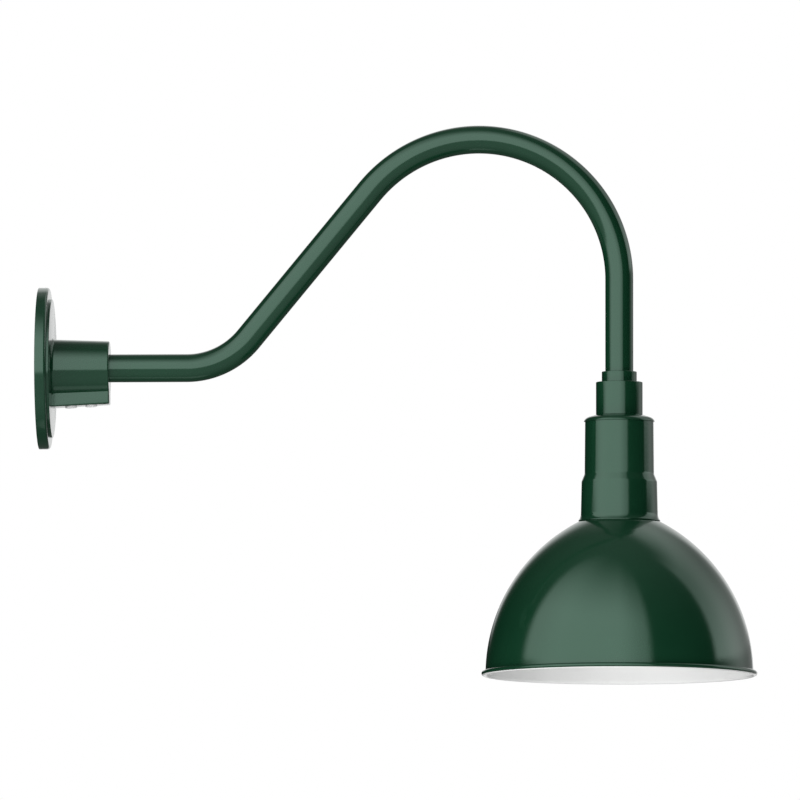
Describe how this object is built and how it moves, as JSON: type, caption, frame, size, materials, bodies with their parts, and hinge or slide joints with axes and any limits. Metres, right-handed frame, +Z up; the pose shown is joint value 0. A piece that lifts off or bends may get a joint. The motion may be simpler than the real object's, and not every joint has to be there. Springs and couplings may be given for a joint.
{
  "type": "gooseneck wall light",
  "caption": "Wall light: round cast plate with tapered hub, bent pipe arm, collar and stepped neck, spun dome shade with curled rim, and porcelain lamp socket",
  "frame": {"origin": "centre of the wall plate's back, in the wall plane, on the axis of the hub", "axes": "+X straight out from the wall, +Z up, +Y the third axis of a right-handed frame; the picture looks along +Y"},
  "size_m": [0.6842, 0.2624, 0.5253],
  "materials": {
    "green_finish": "aluminium under a glossy dark green powder coat",
    "shade_finish": "aluminium under powder coat, dark green outside and white inside",
    "zinc_steel": "bright zinc plate",
    "black_oxide": "black oxide",
    "seal_rubber": "black closed cell foam rubber",
    "bushing_plastic": "black moulded plastic",
    "porcelain": "white glaze",
    "shell_brass": "plain stamped brass",
    "nickel": "nickel plate",
    "ground_green": "green dyed zinc",
    "black_insulation": "black fibreglass sleeve",
    "white_insulation": "white fibreglass sleeve",
    "green_insulation": "green insulation"
  },
  "bodies": {
    "wall_mount": {"wall_plate": "green_finish", "wall_gasket": "seal_rubber", "ground_screw": "ground_green", "ground_lug": "zinc_steel", "ground_lead": "green_insulation"},
    "arm": {"gooseneck_arm": "green_finish", "arm_bushing_wall": "bushing_plastic", "arm_bushing_drop": "bushing_plastic", "arm_lead_black": "black_insulation", "arm_lead_white": "white_insulation"},
    "hub_screw_inner": {"hub_set_screw_inner": "nickel"},
    "hub_screw_outer": {"hub_set_screw_outer": "nickel"},
    "collar_screw": {"collar_set_screw": "black_oxide"},
    "lamp_contact": {"centre_contact": "shell_brass"},
    "shade_head": {"arm_collar": "green_finish", "fitter_nipple": "zinc_steel", "nipple_bushing": "bushing_plastic", "neck_cap": "green_finish", "cap_gasket": "seal_rubber", "cap_locknut": "zinc_steel", "neck_cup": "green_finish", "hanger_plate": "zinc_steel", "hanger_locknut": "zinc_steel", "shade": "shade_finish", "shade_screws": "zinc_steel", "socket_screws": "zinc_steel", "socket_spacers": "zinc_steel", "socket_body": "porcelain", "socket_shell": "shell_brass", "terminal_screw_brass": "shell_brass", "terminal_screw_silver": "nickel", "socket_lead_black": "black_insulation", "socket_lead_white": "white_insulation"}
  },
  "joints": [
    {"name": "arm_swivel", "type": "hinge", "parent": "wall_mount", "child": "arm", "pos_m": [0, 0, 0], "axis": [1, 0, 0], "range_deg": [-90, 90]},
    {"name": "shade_swivel", "type": "hinge", "parent": "arm", "child": "shade_head", "pos_m": [0.553, 0, 0], "axis": [0, 0, 1], "range_deg": [-180, 180]},
    {"name": "hub_screw_inner_out", "type": "slide", "parent": "wall_mount", "child": "hub_screw_inner", "axis": [0.0549, 0, -0.9985], "range_m": [0, 0.004]},
    {"name": "hub_screw_outer_out", "type": "slide", "parent": "wall_mount", "child": "hub_screw_outer", "axis": [0.0549, 0, -0.9985], "range_m": [0, 0.004]},
    {"name": "collar_screw_out", "type": "slide", "parent": "shade_head", "child": "collar_screw", "axis": [0, 1, 0], "range_m": [0, 0.004]},
    {"name": "contact_press", "type": "slide", "parent": "shade_head", "child": "lamp_contact", "axis": [0, 0, 1], "range_m": [0, 0.002], "stiffness_N_per_m": 200, "springref_m": -0.001}
  ]
}
